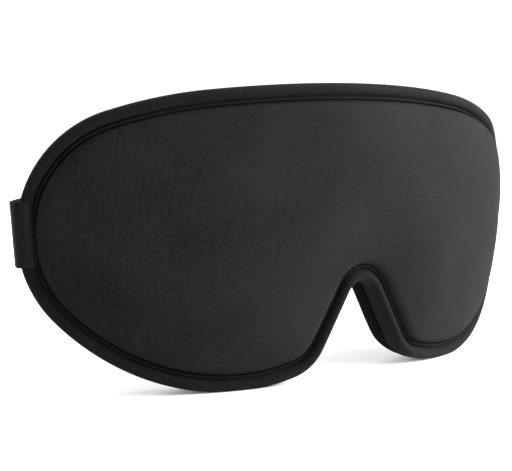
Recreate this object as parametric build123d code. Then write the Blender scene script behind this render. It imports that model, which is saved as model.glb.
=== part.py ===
from build123d import *
import math
import os

# Contoured eye patch (a padded sleep mask) with an adjustable elastic head strap.
# +X is the viewer's right, the front face looks towards -Y, +Z is up. The mask stands on its two
# cheek lobes. The origin is on the floor, under the middle of the whole object. Sizes are in mm.

# The mask's shell is bent round an upright cylinder. Its flat pattern is measured along the bend (u)
# and upwards (z), and depth runs square to the bend, from the rim's front surface towards the face.
BEND_RADIUS = 194.0
# Half of the outer edge, clockwise from the top middle: radius and sweep in degrees of each arc.
EDGE_ARCS = {
    "forehead": (595.0, 5.6),
    "brow": (163.0, 12.0),
    "temple": (38.6, 117.0),
    "cheek": (82.0, 60.0),
    "nose_side": (18.4, 43.5),
}
NOTCH_RADIUS = 7.0
FOOT_FLAT = 0.5  # how much the soft lobes flatten where they stand

# Insets from the outer edge
BINDING = 1.2
FLANGE = 3.95
BEAD_OUT = 4.25
BEAD_IN = 5.45
PANEL = 5.75
COVER_SKIN = 0.7
CUSHION = 0.3
CUSHION_SKIN = 0.8

# Depths, negative in front of the rim's surface
CROWN = -7.0
CROWN_ROUND = 6.0
BEAD_PROUD = -0.3
FLANGE_BACK = 1.2
BLACKOUT_BACK = 1.6
CORE_BACK = 5.0
LINING_BACK = 5.5
CUSHION_BACK = 13.5
CUSHION_ROUND = 3.2

# Concave eye cups in the back
CUP_U = 46.0
CUP_Z = 56.0
CUP_HALF_WIDE = 33.0
CUP_HALF_TALL = 24.0
CUP_DEEP = 9.2
CUP_SKIN = 0.8

# Elastic head strap, lying in a shallow loop behind the mask
STRAP_WIDTH = 20.0
STRAP_THICK = 1.3
STRAP_Z = 51.0
STRAP_Y = 62.0  # behind the rim's front at the middle
STRAIGHT_HALF = 66.0
BEND_ARC = 58.0
BODY_ANGLE = 26.0  # the swinging strap ends here on the arc at each side
TAB_ANGLE = 34.0  # the fixed tab starts here
TAB_LAST_ANGLE = 41.0
BEND_GAP = 0.6
FOLD_RADIUS = 2.4
SEWN_GAP = 0.05

# Rectangular ring and three-bar slider
RING_X = -46.0
RING_PITCH = 12.0
RING_WIRE = 2.2
SLIDER_X = 8.0
SLIDER_HALF = 11.0
BAR_THICK = 1.8
BAR_DEEP = 2.4
PLAY = 0.3
RAIL_GAP = 0.6
RAIL_THICK = 2.0

MASK_TOP = 200.0  # taller than the mask, for cutting bands

parts = {}


def edge_half(inset, points_per_degree=0.06):
    """Runs of (u, z, heading) down the right half of the outline, z counted from the top middle."""
    u, z, heading = 0.0, -inset, 0.0
    runs = []
    for radius, sweep in EDGE_ARCS.values():
        radius -= inset
        turn = math.radians(sweep)
        centre = (u + radius * math.sin(heading), z - radius * math.cos(heading))
        count = max(3, math.ceil(sweep * points_per_degree))
        headings = [heading - turn * k / count for k in range(count + 1)]
        runs.append([(centre[0] - radius * math.sin(h), centre[1] + radius * math.cos(h), h) for h in headings])
        u, z, heading = runs[-1][-1]
    # a straight side up to the notch arc, whose centre is on the middle line
    radius = NOTCH_RADIUS + inset
    along = (math.cos(heading), math.sin(heading))
    length = -(u - radius * along[1]) / along[0]
    runs.append([(u + along[0] * length * k / 3, z + along[1] * length * k / 3, heading) for k in range(4)])
    centre_z = runs[-1][-1][1] + radius * along[0]
    turn = -math.pi - heading
    headings = [heading + turn * k / 4 for k in range(5)]
    runs.append([(radius * math.sin(h), centre_z - radius * math.cos(h), h) for h in headings])
    return runs


TOP_Z = -min(z for run in edge_half(0.0, 1.0) for u, z, h in run) - FOOT_FLAT


def place(u, depth, z=0.0):
    """The point at u along the bend and at this depth."""
    angle = u / BEND_RADIUS
    r = BEND_RADIUS - depth
    return (r * math.sin(angle), BEND_RADIUS - r * math.cos(angle), z)


def outline(inset, y):
    """The outline at this inset as it crosses the plane at y, when its walls run to the bend's axis."""
    half = edge_half(inset)
    mirrored = [[(-u, z, -h) for u, z, h in reversed(run)] for run in reversed(half)]
    reach = BEND_RADIUS - y
    edges = []
    for run in half + mirrored:
        points = [Vector(reach * math.tan(u / BEND_RADIUS), TOP_Z + z) for u, z, h in run]
        ends = [(math.cos(h) * reach / BEND_RADIUS / math.cos(u / BEND_RADIUS) ** 2, math.sin(h))
                for u, z, h in (run[0], run[-1])]
        steps = [k / (len(run) - 1) for k in range(len(run))]
        edges.append(Edge.make_spline(points, tangents=[Vector(*t) for t in ends], parameters=steps))
    return Plane.XZ.offset(-y) * Wire(edges)


def prism(inset, front=-14.0, back=56.0):
    """Everything inside the outline at this inset, with side walls square to the bend."""
    return Solid.make_loft([outline(inset, front), outline(inset, back)], ruled=True)


def layer(inset, front, back):
    """A bent sheet between two depths."""
    ring = Cylinder(BEND_RADIUS - front, 2 * MASK_TOP) - Cylinder(BEND_RADIUS - back, 2 * MASK_TOP)
    return prism(inset) & (Location((0, BEND_RADIUS, 0)) * ring)


def rounded(sheet, radius, depth):
    """Round the whole edge of a sheet's front or back face, the one at this depth."""
    def on_face(edge):
        first, second = edge.position_at(0.3), edge.position_at(0.7)
        off = math.hypot(first.X, BEND_RADIUS - first.Y) - (BEND_RADIUS - depth)
        return abs(off) < 0.01 and math.hypot(first.X - second.X, first.Z - second.Z) > 0.01
    return sheet.fillet(radius, sheet.edges().filter_by(on_face))


def above_floor(solid):
    floor = Box(400, 400, 50, align=(Align.CENTER, Align.CENTER, Align.MAX))
    return solid - floor


def cup(grow, side):
    """The hollow of one eye cup, grown by its skin: a bowl lofted through four ellipses."""
    deep = CUP_DEEP + grow
    rims = []
    for depth, shrink in ((-4.0, -1.5), (0.0, 0.0), (0.55 * deep, 3.5), (deep, 9.0)):
        rims.append(Plane.XZ.offset(depth) * Ellipse(CUP_HALF_WIDE + grow - shrink, CUP_HALF_TALL + grow - shrink))
    angle = math.degrees(CUP_U / BEND_RADIUS)
    spot = Location(place(side * CUP_U, CUSHION_BACK, CUP_Z), (0, 0, side * angle))
    return spot * loft([rim.face() for rim in rims])


def ribbon(path, low, high, thickness=STRAP_THICK):
    """A flat band on edge that follows a plan-view path."""
    return Location((0, 0, low)) * extrude(trace(path, line_width=thickness), amount=high - low)


def strap_band(path):
    return ribbon(path, STRAP_Z - STRAP_WIDTH / 2, STRAP_Z + STRAP_WIDTH / 2)


def bend_point(angle, side):
    """A point on the arc that joins the straight of the strap to the tab at one side."""
    a = math.radians(angle)
    x = STRAIGHT_HALF + BEND_ARC * math.sin(a)
    return (side * x, STRAP_Y - BEND_ARC * (1 - math.cos(a)))


def bend_arc(first, last, side):
    middle = (first + last) / 2
    return ThreePointArc(*(bend_point(a, side) for a in (first, middle, last)))


def front_panel():
    panel = rounded(layer(PANEL, CROWN, FLANGE_BACK), CROWN_ROUND, CROWN)
    foam = layer(PANEL + COVER_SKIN, CROWN + COVER_SKIN, FLANGE_BACK)
    foam = rounded(foam, CROWN_ROUND - COVER_SKIN, CROWN + COVER_SKIN)
    parts["front_foam"] = foam
    parts["front_cover"] = panel - foam


def rim():
    bead = layer(BEAD_OUT, BEAD_PROUD, FLANGE_BACK) - layer(BEAD_IN, BEAD_PROUD - 1, FLANGE_BACK + 1)
    parts["seam_bead"] = bead
    binding = rounded(layer(0.0, 0.0, CORE_BACK), BINDING - 0.1, 0.0)
    binding -= layer(FLANGE, -1.0, FLANGE_BACK)
    binding -= layer(BINDING, FLANGE_BACK, CORE_BACK + 1)
    parts["rim_binding"] = above_floor(binding)


def middle_layers():
    hollows = [cup(CUP_SKIN, side) for side in (-1, 1)]
    parts["blackout_sheet"] = above_floor(layer(BINDING, FLANGE_BACK, BLACKOUT_BACK))
    parts["core_foam"] = above_floor(layer(BINDING, BLACKOUT_BACK, CORE_BACK) - hollows)
    parts["back_lining"] = above_floor(layer(BINDING, CORE_BACK, LINING_BACK) - hollows)


def cushion():
    hollows = [cup(CUP_SKIN, side) for side in (-1, 1)]
    inside = layer(CUSHION + CUSHION_SKIN, LINING_BACK, CUSHION_BACK - CUSHION_SKIN)
    inside = rounded(inside, CUSHION_ROUND - CUSHION_SKIN, CUSHION_BACK - CUSHION_SKIN)
    outside = rounded(layer(CUSHION, LINING_BACK, CUSHION_BACK), CUSHION_ROUND, CUSHION_BACK)
    parts["back_cushion"] = above_floor(inside - hollows)
    parts["cushion_cover"] = above_floor(outside - inside - hollows)


def eye_cups():
    for name, side in (("left", -1), ("right", 1)):
        bowl = cup(CUP_SKIN, side) - cup(0.0, side)
        parts[f"{name}_eye_cup"] = bowl & layer(CUSHION, 0.0, CUSHION_BACK)


def strap_tabs():
    """The elastic's fixed ends: out of the groove, over bead and rim, and back behind."""
    for name, side in (("left", -1), ("right", 1)):
        wrap = ((113.1, -1.2), (117.2, -1.3), (120.6, 1.6), (120.6, 8.0))
        outer = [place(side * u, depth)[:2] for u, depth in wrap]
        behind = [bend_point(a, side) for a in (TAB_LAST_ANGLE, TAB_ANGLE)]
        parts[f"{name}_strap_tab"] = strap_band(Spline(*outer, *behind))
        parts[f"{name}_strap_bend"] = strap_band(bend_arc(TAB_ANGLE - BEND_GAP, BODY_ANGLE, side))


def strap_halves():
    """Both swinging halves, each folded round its bar of the ring."""
    fold_y = STRAP_Y + 2 * FOLD_RADIUS
    left_bar, right_bar = RING_X - RING_PITCH / 2, RING_X + RING_PITCH / 2
    halves = {}
    for name, side, bar, bulge in (("left", -1, left_bar, 1), ("right", 1, right_bar, -1)):
        turn = ThreePointArc((bar, STRAP_Y), (bar + bulge * FOLD_RADIUS, STRAP_Y + FOLD_RADIUS), (bar, fold_y))
        run = Line((side * STRAIGHT_HALF, STRAP_Y), (bar, STRAP_Y))
        halves[name] = bend_arc(BODY_ANGLE, 0.0, side) + run + turn
    tongue_y = STRAP_Y + STRAP_THICK + SEWN_GAP
    tongue_points = (left_bar, fold_y), (left_bar - 8, STRAP_Y + 2.9), (left_bar - 15, tongue_y)
    tongue = Spline(*tongue_points, tangents=[(-1, 0), (-1, 0)])
    parts["left_strap"] = strap_band(halves["left"] + tongue)
    parts["right_strap"] = strap_band(halves["right"])
    parts["strap_tail"] = strap_band(Line((right_bar, fold_y), (SLIDER_X - 10, fold_y)))
    parts["ring_bartack"] = bartack(left_bar - 12, STRAP_Y - STRAP_THICK / 2, tongue_y + STRAP_THICK / 2)


def bartack(x, front, back, proud=0.25):
    """A dense stitched bar across the strap, just proud of both faces."""
    bar = Box(2.0, back - front + 2 * proud, STRAP_WIDTH - 3.0)
    return Location((x, (front + back) / 2, STRAP_Z)) * bar


def ring():
    y = STRAP_Y + FOLD_RADIUS
    tall = STRAP_WIDTH + 2 * RAIL_GAP
    outer = RectangleRounded(RING_PITCH + RING_WIRE, tall + 2 * RING_WIRE, 2.0)
    inner = RectangleRounded(RING_PITCH - RING_WIRE, tall, 1.0)
    loop = extrude(Plane.XZ * (outer - inner), amount=RING_WIRE / 2, both=True)
    loop = loop.fillet(0.6, loop.edges())
    parts["strap_ring"] = Location((RING_X, y, STRAP_Z)) * loop


def slider():
    """Two arched side rails and three cross bars, with the strap woven between the bars."""
    low_y = STRAP_Y - STRAP_THICK / 2 - PLAY - BAR_THICK / 2
    fold_y = STRAP_Y + 2 * FOLD_RADIUS
    high_y = fold_y - (STRAP_THICK + BAR_THICK) / 2
    rail_z = STRAP_WIDTH / 2 + RAIL_GAP
    arch = Spline((-SLIDER_HALF, low_y), (0, high_y), (SLIDER_HALF, low_y), tangents=[(1, 0), (1, 0)])
    rails = [ribbon(arch, STRAP_Z + z, STRAP_Z + z + RAIL_THICK, BAR_THICK) for z in (rail_z, -rail_z - RAIL_THICK)]
    body = rails[0] + rails[1]
    outer, middle = SlotOverall(BAR_DEEP, BAR_THICK), Circle(BAR_THICK / 2)
    for x, y, shape in ((-SLIDER_HALF, low_y, outer), (0, high_y, middle), (SLIDER_HALF, low_y, outer)):
        bar = extrude(shape, amount=rail_z + RAIL_THICK, both=True)
        body += Location((x, y, STRAP_Z)) * bar
    parts["strap_slider"] = Location((SLIDER_X, 0, 0)) * body
    turn_radius = fold_y - high_y
    run = Line((-10, fold_y), (0, fold_y))
    turn = ThreePointArc((0, fold_y), (turn_radius, high_y), (0, high_y - turn_radius))
    under = fold_y - STRAP_THICK - SEWN_GAP
    back = Spline((0, high_y - turn_radius), (-5, under - 0.9), (-10, under), tangents=[(-1, 0), (-1, 0)])
    parts["slider_loop"] = Location((SLIDER_X, 0, 0)) * strap_band(run + turn + back)
    parts["slider_bartack"] = bartack(SLIDER_X - 8, under - STRAP_THICK / 2, fold_y + STRAP_THICK / 2)


for make in (front_panel, rim, middle_layers, cushion, eye_cups, strap_tabs, strap_halves, ring, slider):
    make()

# Move the origin back to the middle of the whole depth
box = Compound(children=[solid.solid() for solid in parts.values()]).bounding_box()
shift = Location((0, -(box.min.Y + box.max.Y) / 2, 0))
os.makedirs("parts", exist_ok=True)
for name, solid in parts.items():
    export_step(shift * solid, f"parts/{name}.step")
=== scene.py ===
import math

import bmesh
import bpy
import numpy as np
from mathutils import Matrix, Vector


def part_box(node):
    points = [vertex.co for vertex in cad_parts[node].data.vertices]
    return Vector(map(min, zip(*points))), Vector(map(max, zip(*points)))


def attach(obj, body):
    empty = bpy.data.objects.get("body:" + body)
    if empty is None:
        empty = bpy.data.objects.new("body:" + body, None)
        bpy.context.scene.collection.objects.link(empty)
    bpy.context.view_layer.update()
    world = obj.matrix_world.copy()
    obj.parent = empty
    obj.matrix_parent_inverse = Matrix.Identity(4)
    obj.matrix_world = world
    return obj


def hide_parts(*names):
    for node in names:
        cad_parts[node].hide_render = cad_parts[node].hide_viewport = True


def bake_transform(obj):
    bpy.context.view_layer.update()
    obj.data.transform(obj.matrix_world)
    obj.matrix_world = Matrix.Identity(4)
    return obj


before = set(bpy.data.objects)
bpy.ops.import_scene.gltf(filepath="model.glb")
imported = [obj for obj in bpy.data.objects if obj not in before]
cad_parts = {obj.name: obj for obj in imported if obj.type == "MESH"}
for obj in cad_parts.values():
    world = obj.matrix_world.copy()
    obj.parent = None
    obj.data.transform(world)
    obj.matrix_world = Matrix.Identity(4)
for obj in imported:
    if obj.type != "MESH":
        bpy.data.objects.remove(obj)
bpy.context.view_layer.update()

# ---------------------------------------------------------------- driving sizes, in metres
MM = 0.001
BEND_RADIUS = 194.0 * MM
EDGE_ARCS = ((595.0, 5.6), (163.0, 12.0), (38.6, 117.0), (82.0, 60.0), (18.4, 43.5))
NOTCH_RADIUS = 7.0 * MM
RIM_LOW, RIM_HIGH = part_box("rim_binding")
RIM_FRONT_Y = RIM_LOW[1]
TOP_Z = RIM_HIGH[2]
CUP_U, CUP_Z = 46.0 * MM, 56.0 * MM
CUP_WIDE, CUP_TALL, CUP_DEEP = 33.0 * MM, 24.0 * MM, 9.2 * MM
CUSHION_BACK = 13.5 * MM
FLARE_TOP, FLARE_BOTTOM = 1.2 * MM, 0.3 * MM
FLOOR_GAP = 0.0002  # how far the soft pieces stay above the floor
STRAP_WIDTH, STRAP_THICK = 20.0 * MM, 1.3 * MM
STRAP_Z = 51.0 * MM
STRAP_Y = RIM_FRONT_Y + 62.0 * MM
STRAIGHT_HALF, BEND_ARC = 66.0 * MM, 58.0 * MM
FOLD_RADIUS = 2.4 * MM
RING_X, RING_PITCH, SLIDER_X = -46.0 * MM, 12.0 * MM, 8.0 * MM
SLIDER_TURN = 1.6 * MM  # how tightly the strap's sewn end turns round the slider's bar
STITCH_NEAR, STITCH_FAR = 0.66 * MM, 2.05 * MM  # the sewn layers' faces, from the near one's middle
OUTER_Y = STRAP_Y + 2 * FOLD_RADIUS  # the strap's outer layer, behind the inner one


# ---------------------------------------------------------------- camera and stage
CAMERA_AZIMUTH, CAMERA_ELEVATION = math.radians(-40.75), math.radians(4.76)
CAMERA_DISTANCE = 450.0 * MM
CAMERA_LENS, CAMERA_SENSOR = 90.35, 36.0  # in millimetres, as Blender takes them
AIM_DEPTH, AIM_Z = 27.0 * MM, 47.6 * MM  # inside the mask, from the rim's front and the floor
AIM_ASIDE, AIM_DOWN = 17.7 * MM, 2.4 * MM  # the view's middle lies this far beside and below that
FLOOR_REACH = 6.0


def make_camera():
    toward = Vector((math.sin(CAMERA_AZIMUTH) * math.cos(CAMERA_ELEVATION),
                     -math.cos(CAMERA_AZIMUTH) * math.cos(CAMERA_ELEVATION),
                     math.sin(CAMERA_ELEVATION)))
    right = Vector((math.cos(CAMERA_AZIMUTH), math.sin(CAMERA_AZIMUTH), 0.0))
    up = toward.cross(right)
    aim = Vector((0.0, RIM_FRONT_Y + AIM_DEPTH, AIM_Z)) - right * AIM_ASIDE - up * AIM_DOWN
    camera = bpy.data.objects.new("camera", bpy.data.cameras.new("camera"))
    bpy.context.collection.objects.link(camera)
    camera.data.lens = CAMERA_LENS
    camera.data.sensor_width = CAMERA_SENSOR
    camera.data.clip_start = 0.01
    turn = Matrix(((right.x, up.x, toward.x), (right.y, up.y, toward.y), (right.z, up.z, toward.z)))
    camera.matrix_world = Matrix.Translation(aim + toward * CAMERA_DISTANCE) @ turn.to_4x4()
    bpy.context.scene.camera = camera


def area_light(name, place, aim, size, power):
    light = bpy.data.objects.new(name, bpy.data.lights.new(name, "AREA"))
    bpy.context.collection.objects.link(light)
    light.data.shape = "RECTANGLE"
    light.data.size, light.data.size_y = size
    light.data.energy = power
    light.location = place
    light.rotation_euler = (Vector(aim) - Vector(place)).to_track_quat("-Z", "Y").to_euler()


def make_stage():
    mesh = bpy.data.meshes.new("floor")
    corners = [(x * FLOOR_REACH, y * FLOOR_REACH, 0)
               for x, y in ((-1, -1), (1, -1), (1, 1), (-1, 1))]
    mesh.from_pydata(corners, [], [(0, 1, 2, 3)])
    floor = bpy.data.objects.new("floor", mesh)
    bpy.context.collection.objects.link(floor)
    material = bpy.data.materials.new("floor")
    material.use_nodes = True
    shader = material.node_tree.nodes["Principled BSDF"]
    shader.inputs["Base Color"].default_value = (0.93, 0.94, 0.95, 1)
    shader.inputs["Roughness"].default_value = 0.7
    shader.inputs["Emission Color"].default_value = (0.92, 0.95, 1.0, 1)
    shader.inputs["Emission Strength"].default_value = 0.08
    mesh.materials.append(material)
    world = bpy.data.worlds.new("studio")
    world.use_nodes = True
    background = world.node_tree.nodes["Background"]
    background.inputs["Color"].default_value = (1.0, 1.0, 1.0, 1)
    background.inputs["Strength"].default_value = 1.2
    bpy.context.scene.world = world
    bpy.context.scene.view_settings.view_transform = "Standard"
    area_light("key", (1.56, -0.9, 0.6), (0, 0, 0.05), (2.4, 1.6), 195)
    area_light("back", (-0.5, 1.5, 0.8), (0, 0, 0.05), (1.2, 0.9), 22)


# ---------------------------------------------------------------- materials
class Nodes:
    """Short helper for node-based materials."""

    def __init__(self, name):
        self.material = bpy.data.materials.new(name)
        self.material.use_nodes = True
        self.tree = self.material.node_tree
        self.shader = self.tree.nodes["Principled BSDF"]

    def add(self, kind, **settings):
        node = self.tree.nodes.new(kind)
        for key, value in settings.items():
            setattr(node, key, value)
        return node

    def link(self, output, target):
        self.tree.links.new(output, target)

    def math(self, operation, first, second=0.0):
        node = self.add("ShaderNodeMath", operation=operation)
        for socket, value in zip(node.inputs, (first, second)):
            if isinstance(value, (int, float)):
                socket.default_value = value
            else:
                self.link(value, socket)
        return node.outputs[0]

    def flat(self):
        """The piece's own flat coordinates in millimetres: along and across."""
        coords = self.add("ShaderNodeUVMap")
        split = self.add("ShaderNodeSeparateXYZ")
        self.link(coords.outputs[0], split.inputs[0])
        return [self.math("MULTIPLY", split.outputs[axis], 1000.0) for axis in (0, 1)]

    def noise(self, scale, detail=3.0):
        coords = self.add("ShaderNodeTexCoord")
        node = self.add("ShaderNodeTexNoise")
        node.inputs["Scale"].default_value = scale
        node.inputs["Detail"].default_value = detail
        self.link(coords.outputs["Object"], node.inputs["Vector"])
        return node.outputs["Fac"]

    def ramp(self, value, stops):
        node = self.add("ShaderNodeValToRGB")
        while len(node.color_ramp.elements) < len(stops):
            node.color_ramp.elements.new(0.5)
        for element, (spot, colour) in zip(node.color_ramp.elements, stops):
            element.position = spot
            element.color = (*colour, 1)
        self.link(value, node.inputs["Fac"])
        return node.outputs["Color"]

    def bump(self, height, distance):
        node = self.add("ShaderNodeBump")
        node.inputs["Distance"].default_value = distance
        node.inputs["Strength"].default_value = 1.0
        self.link(height, node.inputs["Height"])
        self.link(node.outputs[0], self.shader.inputs["Normal"])

    def wave(self, value, period, phase=0.0):
        turned = self.math("ADD", self.math("MULTIPLY", value, 2 * math.pi / period), phase)
        return self.math("SINE", turned)


FUZZ_SCALE, SPECK_SCALE, PATCH_SCALE = 9000.0, 2100.0, 38.0  # noise cells per metre
KNIT_ROUGHNESS = 0.79


def knit(name, dark, light, course=0.42, wale=0.34, depth=0.08, sheen=0.02):
    """Fine jersey knit: columns of small loops, with melange specks and soft fibre fuzz.

    course and wale are the loops' height and width, and depth is the relief, in millimetres."""
    n = Nodes(name)
    along, up = n.flat()
    slant = n.math("MULTIPLY", n.wave(along, wale), 0.35)
    loops = n.math("MULTIPLY", n.wave(up, course), 0.5)
    columns = n.wave(along, wale, 0.6)
    height = n.math("ADD", n.math("ADD", columns, loops), n.math("MULTIPLY", slant, loops))
    fuzz = n.noise(FUZZ_SCALE, 2.0)
    height = n.math("ADD", height, n.math("MULTIPLY", fuzz, 1.6))
    n.bump(height, depth * MM)
    specks = n.noise(SPECK_SCALE)
    patches = n.noise(PATCH_SCALE)
    tone = n.math("ADD", n.math("MULTIPLY", specks, 0.75), n.math("MULTIPLY", patches, 0.25))
    # Painted shade: the loops' raised tops are painted lighter and the hollows between them darker,
    # following the bump's relief.
    tone = n.math("ADD", tone, n.math("MULTIPLY", n.math("ADD", columns, loops), 0.035))
    n.link(n.ramp(tone, ((0.36, dark), (0.64, light))), n.shader.inputs["Base Color"])
    roughness = n.math("ADD", n.math("MULTIPLY", specks, 0.12), KNIT_ROUGHNESS)
    n.link(roughness, n.shader.inputs["Roughness"])
    n.shader.inputs["Sheen Weight"].default_value = sheen
    n.shader.inputs["Sheen Roughness"].default_value = 0.45
    n.shader.inputs["Specular IOR Level"].default_value = 0.04
    return n.material


def elastic(name):
    """Woven elastic: lengthwise ribs crossed by fine picks, with plain edges."""
    n = Nodes(name)
    along, across = n.flat()
    ribs = n.wave(across, 1.25)
    picks = n.wave(along, 0.55)
    weave = n.math("ADD", ribs, n.math("MULTIPLY", n.math("MULTIPLY", picks, ribs), 0.6))
    n.bump(n.math("ADD", weave, n.math("MULTIPLY", n.noise(6000.0, 2.0), 0.8)), 0.05 * MM)
    # Painted shade: the ribs' and picks' raised tops are painted lighter and the hollows between
    # them darker, following the bump's relief.
    tone = n.math("ADD", n.math("MULTIPLY", n.noise(2500.0), 0.7), n.math("MULTIPLY", weave, 0.04))
    n.link(n.ramp(tone, ((0.2, (0.0008, 0.0010, 0.0015)), (0.6, (0.0030, 0.0034, 0.0048)))),
           n.shader.inputs["Base Color"])
    n.shader.inputs["Roughness"].default_value = 0.7
    n.shader.inputs["Sheen Weight"].default_value = 0.02
    n.shader.inputs["Specular IOR Level"].default_value = 0.08
    return n.material


def foam(name):
    """Open-celled foam: fine round cells over a faint mottle."""
    n = Nodes(name)
    cells = n.add("ShaderNodeTexVoronoi")
    coords = n.add("ShaderNodeTexCoord")
    n.link(coords.outputs["Object"], cells.inputs["Vector"])
    cells.inputs["Scale"].default_value = 1800.0
    n.bump(cells.outputs["Distance"], 0.3 * MM)
    n.link(n.ramp(n.noise(60.0), ((0.3, (0.05, 0.05, 0.055)), (0.7, (0.075, 0.075, 0.08)))),
           n.shader.inputs["Base Color"])
    n.shader.inputs["Roughness"].default_value = 0.95
    return n.material


def moulded_plastic(name):
    """Black nylon with a fine moulded grain."""
    n = Nodes(name)
    grain = n.noise(2600.0, 4.0)
    n.bump(grain, 0.02 * MM)
    n.link(n.ramp(n.noise(90.0), ((0.3, (0.012, 0.012, 0.014)), (0.7, (0.02, 0.02, 0.022)))),
           n.shader.inputs["Base Color"])
    n.link(n.math("ADD", n.math("MULTIPLY", grain, 0.18), 0.28), n.shader.inputs["Roughness"])
    return n.material


def thread(name):
    """Polyester sewing thread."""
    n = Nodes(name)
    n.bump(n.noise(8000.0, 2.0), 0.05 * MM)
    n.link(n.ramp(n.noise(700.0), ((0.3, (0.012, 0.012, 0.015)), (0.7, (0.03, 0.03, 0.034)))),
           n.shader.inputs["Base Color"])
    n.shader.inputs["Roughness"].default_value = 0.6
    n.shader.inputs["Sheen Weight"].default_value = 0.2
    return n.material


MATERIALS = {
    "face_knit": knit("face_knit", (0.0022, 0.0022, 0.0026), (0.0125, 0.0127, 0.0138)),
    "rim_knit": knit("rim_knit", (0.0018, 0.0018, 0.0024), (0.0076, 0.0078, 0.0092), 0.5, 0.5),
    "cushion_knit": knit("cushion_knit", (0.0006, 0.0006, 0.0008), (0.0026, 0.0026, 0.0031),
                         0.5, 0.45, sheen=0.003),
    "lining": knit("lining", (0.004, 0.004, 0.005), (0.009, 0.009, 0.01), 0.6, 0.6, 0.03, 0.05),
    "foam": foam("foam"),
    "elastic": elastic("elastic"),
    "thread": thread("thread"),
    "hardware": moulded_plastic("hardware"),
}


# ---------------------------------------------------------------- mesh building
OUTLINE_STEP = 1.6 * MM
NOTCH_STEPS = 12


def outline():
    """Points (u, z) and outward normals round the flat pattern's edge, clockwise from the top."""
    u, z, heading = 0.0, 0.0, 0.0
    half = [(u, z, heading)]
    for radius, sweep in EDGE_ARCS:
        radius, turn = radius * MM, math.radians(sweep)
        centre = (u + radius * math.sin(heading), z - radius * math.cos(heading))
        count = math.ceil(radius * turn / OUTLINE_STEP)
        for k in range(1, count + 1):
            h = heading - turn * k / count
            half.append((centre[0] - radius * math.sin(h), centre[1] + radius * math.cos(h), h))
        u, z, heading = half[-1]
    along = (math.cos(heading), math.sin(heading))
    length = -(u - NOTCH_RADIUS * along[1]) / along[0]
    count = math.ceil(length / OUTLINE_STEP)
    half += [(u + along[0] * length * k / count, z + along[1] * length * k / count, heading)
             for k in range(1, count + 1)]
    centre_z = half[-1][1] + NOTCH_RADIUS * along[0]
    turn = -math.pi - heading
    for k in range(1, NOTCH_STEPS + 1):
        h = heading + turn * k / NOTCH_STEPS
        half.append((NOTCH_RADIUS * math.sin(h), centre_z - NOTCH_RADIUS * math.cos(h), h))
    whole = half + [(-u, z, -h) for u, z, h in half[-2:0:-1]]
    points = np.array([(u, z) for u, z, h in whole])
    normals = np.array([(-math.sin(h), math.cos(h)) for u, z, h in whole])
    points[:, 1] += TOP_Z
    return points, normals


EDGE, OUTWARD = outline()
EDGE_RUNS = np.linalg.norm(np.diff(np.vstack([EDGE, EDGE[:1]]), axis=0), axis=1)
AROUND = np.concatenate([[0.0], np.cumsum(EDGE_RUNS)])
FLARE_FROM, FLARE_OVER = 62, 36  # millimetres from the nose where the twist starts, and its run
FLARE_MIDDLE, FLARE_RISE = 49, 22  # millimetres up where it changes sides, and its run
FLARE_FADE = 5 * MM  # depth where it ends


def ease(x):
    """Goes smoothly from 0 at x = 0 to 1 at x = 1."""
    x = np.clip(x, 0.0, 1.0)
    return x * x * (3 - 2 * x)


def quarter(x, power=2.2):
    """Rises steeply from 0 at x = 0 and flattens to 1 at x = 1."""
    return (1 - (1 - np.clip(x, 0.0, 1.0)) ** power) ** (1 / power)


def flare(flat, depth):
    """How far the front edge twists: forwards at the temples' top corners, back at the bottom."""
    out = (np.abs(flat[:, 0]) / MM - FLARE_FROM) / FLARE_OVER
    up = np.clip((flat[:, 1] / MM - FLARE_MIDDLE) / FLARE_RISE, -1, 1)
    twist = ease(out) * np.sin(up * math.pi / 2)
    fade = 1 - np.clip(depth / FLARE_FADE, 0, 1)
    return np.where(twist > 0, FLARE_TOP, FLARE_BOTTOM) * twist * fade


def on_bend(flat, depth):
    """Flat pattern points and depths, bent round the upright cylinder."""
    depth = depth - flare(flat, depth)
    angle = flat[:, 0] / BEND_RADIUS
    r = BEND_RADIUS - depth
    z = np.maximum(flat[:, 1], FLOOR_GAP)
    return np.column_stack([r * np.sin(angle), RIM_FRONT_Y + BEND_RADIUS - r * np.cos(angle), z])


def catmull_rom(a, b, c, d, t):
    """The point a share t of the way from b to c on the smooth line through four points."""
    return 0.5 * (2 * b + (c - a) * t + (2 * a - 5 * b + 4 * c - d) * t ** 2
                  + (3 * b - a - 3 * c + d) * t ** 3)


def smooth_profile(corners, pieces=4):
    """A smooth line through (inset, depth) corners given in millimetres."""
    p = np.array(corners, float) * MM
    p = np.vstack([2 * p[0] - p[1], p, 2 * p[-1] - p[-2]])
    out = [catmull_rom(*p[k - 1:k + 3], t) for k in range(1, len(p) - 2)
           for t in np.arange(pieces) / pieces]
    return np.array(out + [p[-2]])


def mesh_object(name, points, faces, uvs):
    """A smooth mesh object; uvs holds one (u, v) per face corner, in metres."""
    mesh = bpy.data.meshes.new(name)
    mesh.from_pydata([tuple(p) for p in points], [], faces)
    layer = mesh.uv_layers.new(name="flat")
    layer.data.foreach_set("uv", np.asarray(uvs, float).ravel())
    mesh.shade_smooth()
    piece = bpy.data.objects.new(name, mesh)
    bpy.context.collection.objects.link(piece)
    return piece


def clean_mesh(piece, merge=0.0, merge_from=0, dissolve=0.0):
    """Merges points from index merge_from on, drops slivers, and turns the faces outwards."""
    work = bmesh.new()
    work.from_mesh(piece.data)
    if merge:
        last = [v for v in work.verts if v.index >= merge_from]
        bmesh.ops.remove_doubles(work, verts=last, dist=merge)
    if dissolve:
        bmesh.ops.dissolve_degenerate(work, dist=dissolve, edges=work.edges)
    bmesh.ops.recalc_face_normals(work, faces=work.faces)
    work.to_mesh(piece.data)
    work.free()


def give_material(piece, material):
    piece.data.materials.append(MATERIALS[material])


def dress(piece, material, body, nodes):
    """Gives a piece its finish and its body, and hides the CAD nodes that it stands for."""
    give_material(piece, material)
    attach(piece, body)
    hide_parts(*nodes)


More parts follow.
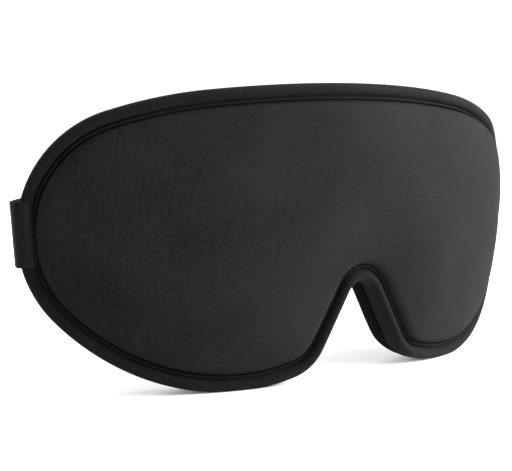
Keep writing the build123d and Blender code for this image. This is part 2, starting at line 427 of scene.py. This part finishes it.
def grid_faces(rows, columns):
    """Quads of a grid of points stored row by row, each row closed on itself."""
    faces = []
    for r in range(rows - 1):
        for c in range(columns):
            a, b = r * columns + c, r * columns + (c + 1) % columns
            faces.append((a, a + columns, b + columns, b))
    return faces


def ring_uvs(faces, columns, across):
    """Flat coordinates for a swept band: distances round the outline and across the profile."""
    uvs = []
    for face in faces:
        cols = [index % columns for index in face]
        wrap = max(cols) == columns - 1 and min(cols) == 0
        for index, c in zip(face, cols):
            uvs.append((AROUND[columns if wrap and c == 0 else c], across[index // columns]))
    return uvs


PULL_MOST = 2.6 * MM
PULL_FROM, PULL_OVER = 5.6, 6.5  # depth in millimetres where the pull starts, and its run
PULL_U, PULL_Z, PULL_SPREAD = 30, 2, 12  # its middle on the flat pattern, and how wide it is


def pulled_in(flat, depth):
    """How much further in the cushion's back edge sits, most of all beside the nose."""
    nose = np.exp(-((np.abs(flat[:, 0]) / MM - PULL_U) / PULL_SPREAD) ** 2
                  - ((flat[:, 1] / MM - PULL_Z) / PULL_SPREAD) ** 2)
    return PULL_MOST * nose * np.clip((depth / MM - PULL_FROM) / PULL_OVER, 0, 1) ** 1.3


def swept_band(name, profile):
    """A band that follows the whole outline with one cross-section of (inset, depth)."""
    columns = len(EDGE)
    rows = [on_bend(EDGE - OUTWARD * inset, np.full(columns, depth)) for inset, depth in profile]
    faces = grid_faces(len(rows), columns)
    steps = np.linalg.norm(np.diff(profile, axis=0), axis=1)
    across = np.concatenate([[0.0], np.cumsum(steps)])
    return mesh_object(name, np.vstack(rows), faces, ring_uvs(faces, columns, across))


SPINE_STEP = 2.4 * MM
SPINE_REACH, SPINE_SHARE = 76 * MM, 0.74


def spine(flat):
    """The line along the middle of the mask that the filled faces close on."""
    u = np.clip(flat[:, 0] * SPINE_SHARE, -SPINE_REACH, SPINE_REACH)
    u = np.round(u / SPINE_STEP) * SPINE_STEP  # steps that neighbours share, so that they merge
    z = 50.0 * MM + 11.0 * MM * np.exp(-(u / (28 * MM)) ** 2)
    return np.column_stack([u, z])


def edge_distance(flat):
    """How far each flat point lies inside the outer edge."""
    batch = 2000
    out = np.empty(len(flat))
    for k in range(0, len(flat), batch):
        gap = flat[k:k + batch, None, :] - EDGE[None]
        out[k:k + batch] = np.sqrt((gap ** 2).sum(2)).min(1)
    return out


def filled_face(name, profile, depth_of, rows_in):
    """A closed-up face: the profile sweeps in from the outline, then rows_in rows run to the spine.

    depth_of(flat) gives the depth of the inner rows."""
    columns = len(EDGE)
    flats = [EDGE - OUTWARD * (inset + pulled_in(EDGE, depth))[:, None] for inset, depth in profile]
    rows = [on_bend(flat, np.full(columns, depth)) for flat, (inset, depth) in zip(flats, profile)]
    start = flats[-1]
    target = spine(start)
    for k in range(1, rows_in + 1):
        flat = start + (target - start) * (k / rows_in) ** 1.25
        rows.append(on_bend(flat, depth_of(flat)))
        flats.append(flat)
    faces = grid_faces(len(rows), columns)
    flats = np.vstack(flats)
    uvs = [flats[index] for face in faces for index in face]
    piece = mesh_object(name, np.vstack(rows), faces, uvs)
    clean_mesh(piece, 0.05 * MM, (len(rows) - 1) * columns, 0.01 * MM)
    return piece


# ---------------------------------------------------------------- the mask
PANEL_INSET = 5.76  # where the panel leaves its groove, in millimetres inside the edge
PANEL_GROOVE = 0.2  # and how deep that is
PANEL_STEP, PANEL_STEP_RUN = 2.8, 4.0  # its steep rise from the groove, and the width of that
PANEL_DOME, PANEL_DOME_RUN = 4.0, 30.0  # the slow dome after it
LOBE_CROWN = 0.6  # more over each eye


def crown_depth(flat):
    """Depth of the padded front: it rises fast from the groove, then domes slowly."""
    u, z = flat[:, 0], flat[:, 1]
    inside = edge_distance(flat) / MM - PANEL_INSET
    lobe = np.exp(-((np.abs(u) / MM - 52) / 40) ** 2 - ((z / MM - 50) / 32) ** 2)
    nose = np.exp(-(u / (46 * MM)) ** 2) * ease((62 - z / MM) / 25)
    step = (PANEL_STEP - 0.6 * nose) * quarter(inside / (PANEL_STEP_RUN - nose))
    domed = np.clip(inside / (PANEL_DOME_RUN - 8.0 * nose), 0, 1)
    dome = (PANEL_DOME - 0.9 * nose) * np.sin(domed * math.pi / 2)
    return (PANEL_GROOVE - (step + dome + LOBE_CROWN * lobe)) * MM


def front_panel():
    profile = smooth_profile(((5.82, 1.5), (5.78, 0.9), (PANEL_INSET, PANEL_GROOVE)), 3)
    piece = filled_face("front_panel", profile, crown_depth, 46)
    dress(piece, "face_knit", "mask", ("front_cover", "front_foam"))


def seam_bead():
    profile = smooth_profile(((4.42, 1.4), (4.44, 0.5), (4.56, -0.05), (4.85, -0.35),
                              (5.14, -0.05), (5.26, 0.5), (5.28, 1.4)), 3)
    dress(swept_band("seam_piping", profile), "rim_knit", "mask", ("seam_bead",))


def rim_binding():
    profile = smooth_profile(((3.92, 1.5), (3.88, 0.5), (3.55, -0.4), (3.0, -1.1), (2.1, -1.55),
                              (1.2, -1.5), (0.55, -1.05), (0.15, -0.25), (0.0, 0.9), (0.0, 2.4),
                              (0.05, 3.9), (0.35, 4.8), (1.2, 5.2)))
    dress(swept_band("edge_binding", profile), "rim_knit", "mask", ("rim_binding",))


def cup_radius(flat):
    """Elliptical radius from the nearer eye cup's middle, 1 at its rim."""
    du = (np.abs(flat[:, 0]) - CUP_U) / CUP_WIDE
    dz = (flat[:, 1] - CUP_Z) / CUP_TALL
    return np.sqrt(du ** 2 + dz ** 2)


CUSHION_FULL, CUSHION_DOME = 12.9, 0.7  # millimetres deep at the edge, and more inside it
CUSHION_LIP, LIP_AT, LIP_SPREAD = 0.35, 1.12, 0.08  # the swelling round each eye cup


def cushion_depth(flat):
    """Depth of the back cushion: full and slightly domed, hollowed for the eye cups."""
    inside = edge_distance(flat) / MM
    full = CUSHION_FULL + CUSHION_DOME * ease((inside - 4.0) / 10.0)
    r = cup_radius(flat)
    lip = CUSHION_LIP * np.exp(-((r - LIP_AT) / LIP_SPREAD) ** 2)
    hollow = (CUP_DEEP / MM + 0.9) * (1 - np.clip(r / 1.02, 0, 1) ** 4) ** 0.6
    return (full + lip - hollow) * MM


def back_cushion():
    profile = smooth_profile(((1.4, 5.1), (0.75, 5.35), (0.45, 6.0), (0.3, 7.4), (0.35, 9.2),
                              (0.8, 11.0), (1.8, 12.2), (3.4, 12.8), (4.6, 12.92)))
    piece = filled_face("face_cushion", profile, cushion_depth, 60)
    dress(piece, "cushion_knit", "mask", ("cushion_cover", "back_cushion"))


CUP_RINGS, CUP_AROUND = 26, 96
CUP_ROLL = ((1.035, 0.5), (1.03, 0.15), (1.015, 0.0))  # shares of the radius, and how far it rolls


def eye_cup(name, side):
    """A concave moulded bowl with a soft rolled rim."""
    shares = np.concatenate([[share for share, roll in CUP_ROLL],
                             np.linspace(1.0, 0.0, CUP_RINGS) ** 0.8])
    rolls = [roll * MM for share, roll in CUP_ROLL] + [0.0] * CUP_RINGS
    turn = 2 * np.pi * np.arange(CUP_AROUND) / CUP_AROUND
    points, flats = [], []
    for share, roll in zip(shares, rolls):
        flat = np.column_stack([side * CUP_U + share * CUP_WIDE * np.cos(turn),
                                CUP_Z + share * CUP_TALL * np.sin(turn)])
        hollow = CUP_DEEP * (1 - min(share, 1.0) ** 4) ** 0.6
        depth = np.full(CUP_AROUND, CUSHION_BACK + 0.15 * MM - roll - hollow)
        points.append(on_bend(flat, depth))
        flats.append(flat)
    faces = grid_faces(len(shares), CUP_AROUND)
    flats = np.vstack(flats)
    uvs = [flats[index] for face in faces for index in face]
    piece = mesh_object(f"{name}_bowl", np.vstack(points), faces, uvs)
    clean_mesh(piece, 0.01 * MM)
    dress(piece, "cushion_knit", "mask", (name,))


# ---------------------------------------------------------------- the strap
def bend_point(angle, side):
    """A plan-view point on the strap's wide bend, angle degrees from the straight middle."""
    a = math.radians(angle)
    x = STRAIGHT_HALF + BEND_ARC * math.sin(a)
    return Vector((side * x, STRAP_Y - BEND_ARC * (1 - math.cos(a)), 0))


def shell_point(u, depth, side):
    """A plan-view point on the bend, u and depth in millimetres."""
    x, y, z = on_bend(np.array([[side * u * MM, 0.05]]), np.array([depth * MM]))[0]
    return Vector((x, y, 0))


PATH_SPACING = 0.8 * MM


def smooth_path(points):
    """A smooth path through plan-view points, evenly divided."""
    p = [2 * points[0] - points[1], *points, 2 * points[-1] - points[-2]]
    out = []
    for k in range(1, len(p) - 2):
        count = max(2, math.ceil((p[k + 1] - p[k]).length / PATH_SPACING))
        out += [catmull_rom(*p[k - 1:k + 3], i / count) for i in range(count)]
    return out + [p[-2]]


def strap_piece(name, path, lean=()):
    """A flat elastic band on edge along a plan-view path, with rounded edges and flat coordinates.

    lean holds how far each of the path's first points tilts sideways for its height."""
    half, edge, high = STRAP_THICK / 2, STRAP_THICK * 0.3, STRAP_WIDTH / 2
    section = [(-half, edge - high), (-half, 0.0), (-half, high - edge), (-edge, high),
               (edge, high), (half, high - edge), (half, 0.0), (half, edge - high),
               (edge, -high), (-edge, -high)]
    across = [0, high, 2 * high, 2.04 * high, 2.06 * high, 2 * high, high, 0, 0, 0]
    leans = list(lean) + [0.0] * (len(path) - len(lean))
    last = len(path) - 1
    tangents = [(path[min(k + 1, last)] - path[max(k - 1, 0)]).normalized()
                for k in range(last + 1)]
    lengths = np.concatenate([[0], np.cumsum([(b - a).length for a, b in zip(path, path[1:])])])
    points = []
    for spot, t, tilt in zip(path, tangents, leans):
        side = Vector((t.y, -t.x, 0))
        points += [spot + side * off + Vector((tilt * up, 0, STRAP_Z + up))
                   for off, up in section]
    columns = len(section)
    ends = [tuple(range(columns)), tuple(reversed(range(last * columns, (last + 1) * columns)))]
    faces = grid_faces(len(path), columns) + ends
    uvs = [(lengths[i // columns], across[i % columns]) for face in faces for i in face]
    piece = mesh_object(name, points, faces, uvs)
    clean_mesh(piece)
    return piece


def fold(bar, bulge):
    """Half a turn of the strap round a bar, from the inner layer out to the outer one."""
    turn = [math.radians(a) for a in range(-90, 91, 15)]
    return [Vector((bar + bulge * FOLD_RADIUS * math.cos(a),
                    STRAP_Y + FOLD_RADIUS * (1 + math.sin(a)), 0)) for a in turn]


WRAP = ((113.3, 1.2), (113.6, -0.6), (114.6, -1.9), (116.2, -2.4),
        (117.6, -2.1), (118.5, -0.9), (118.8, 1.2), (118.8, 3.2))  # (u, depth) over the rim
WRAP_LEAN = 0.085
RUN_SPACING = 1.5 * MM
TAIL_STEPS = 30


def strap_side(name, side):
    """One elastic: out of the groove, over the rim, behind the mask and round the ring's bar."""
    wrap = [shell_point(u, depth, side) for u, depth in WRAP]
    behind = [bend_point(a, side) for a in (33, 27, 20, 13, 6, 0)]
    path = smooth_path(wrap + behind)
    turned = len(smooth_path(wrap))
    lean = [side * WRAP_LEAN * (1 - ease(k / turned - 1)) for k in range(2 * turned)]
    bar = RING_X + side * RING_PITCH / 2
    start, end = path[-1], Vector((bar, STRAP_Y, 0))
    steps = math.ceil((end - start).length / RUN_SPACING)
    path += [start.lerp(end, k / steps) for k in range(1, steps)]
    path += fold(bar, -side)
    if side < 0:
        tongue = [(bar - 0.5 * MM, OUTER_Y), (bar - 4 * MM, OUTER_Y - 0.4 * MM),
                  (bar - 8 * MM, STRAP_Y + 2.9 * MM), (bar - 11 * MM, STRAP_Y + 1.5 * MM),
                  (bar - 15 * MM, STRAP_Y + 1.36 * MM)]
        path += smooth_path([Vector((x, y, 0)) for x, y in tongue])
    piece = strap_piece(f"{name}_band", path, lean)
    give_material(piece, "elastic")
    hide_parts(f"{name}_tab", f"{name}_bend", name)
    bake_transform(piece)


def strap_tail():
    """The doubled layer between ring and slider, built straight at one length; on the real strap it
    stretches as the slider moves.
    """
    start, end = RING_X + RING_PITCH / 2, SLIDER_X - 10 * MM
    path = [Vector((start + (end - start) * k / TAIL_STEPS, OUTER_Y, 0))
            for k in range(TAIL_STEPS + 1)]
    piece = strap_piece("tail_band", path)
    give_material(piece, "elastic")
    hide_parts("strap_tail")
    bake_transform(piece)


def slider_loop():
    """The strap's sewn end round the slider's middle bar."""
    turn = [math.radians(a) for a in range(75, -91, -15)]
    back = [(0, 3.2), (-2.5, 2.9), (-5, 2.25), (-7.5, 1.5), (-10, 1.37)]
    path = [Vector((SLIDER_X + x * MM, OUTER_Y, 0)) for x in (-10, -8, -6, -4, -2, 0)]
    path += [Vector((SLIDER_X + SLIDER_TURN * math.cos(a),
                     OUTER_Y - SLIDER_TURN * (1 - math.sin(a)), 0)) for a in turn]
    path += smooth_path([Vector((SLIDER_X + x * MM, OUTER_Y - y * MM, 0)) for x, y in back])[1:]
    dress(strap_piece("loop_band", path), "elastic", "slider", ("slider_loop",))


STITCHES, STITCH_REACH = 17, 0.8 * MM
THREAD_RADIUS = 0.16 * MM


def bartack(name, body, x, front, back):
    """A dense zigzag of thread across both layers, seen on each face."""
    half = STRAP_WIDTH / 2 - 1.6 * MM
    curve = bpy.data.curves.new(f"{name}_stitches", "CURVE")
    curve.dimensions = "3D"
    curve.bevel_depth = THREAD_RADIUS
    curve.bevel_resolution = 2
    for y in (front, back):
        spline = curve.splines.new("POLY")
        spline.points.add(2 * STITCHES)
        for k, point in enumerate(spline.points):
            z = STRAP_Z - half + half * k / STITCHES
            point.co = (x + (STITCH_REACH if k % 2 else -STITCH_REACH), y, z, 1)
    piece = bpy.data.objects.new(curve.name, curve)
    bpy.context.collection.objects.link(piece)
    dress(piece, "thread", body, (name,))


CARRIED_OVER = {"strap_ring": "hardware", "strap_slider": "hardware", "core_foam": "foam",
                "blackout_sheet": "lining", "back_lining": "lining"}


def finish_carried_over():
    """Better materials for the CAD nodes that stay."""
    for node, material in CARRIED_OVER.items():
        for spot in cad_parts[node].material_slots:
            spot.material = MATERIALS[material]


make_camera()
make_stage()
front_panel()
seam_bead()
rim_binding()
back_cushion()
for name, side in (("left_eye_cup", -1), ("right_eye_cup", 1)):
    eye_cup(name, side)
for name, side in (("left_strap", -1), ("right_strap", 1)):
    strap_side(name, side)
strap_tail()
slider_loop()
bartack("ring_bartack", "head_strap", RING_X - RING_PITCH / 2 - 12 * MM,
        STRAP_Y - STITCH_NEAR, STRAP_Y + STITCH_FAR)
bartack("slider_bartack", "slider", SLIDER_X - 8 * MM, OUTER_Y - STITCH_FAR, OUTER_Y + STITCH_NEAR)
finish_carried_over()
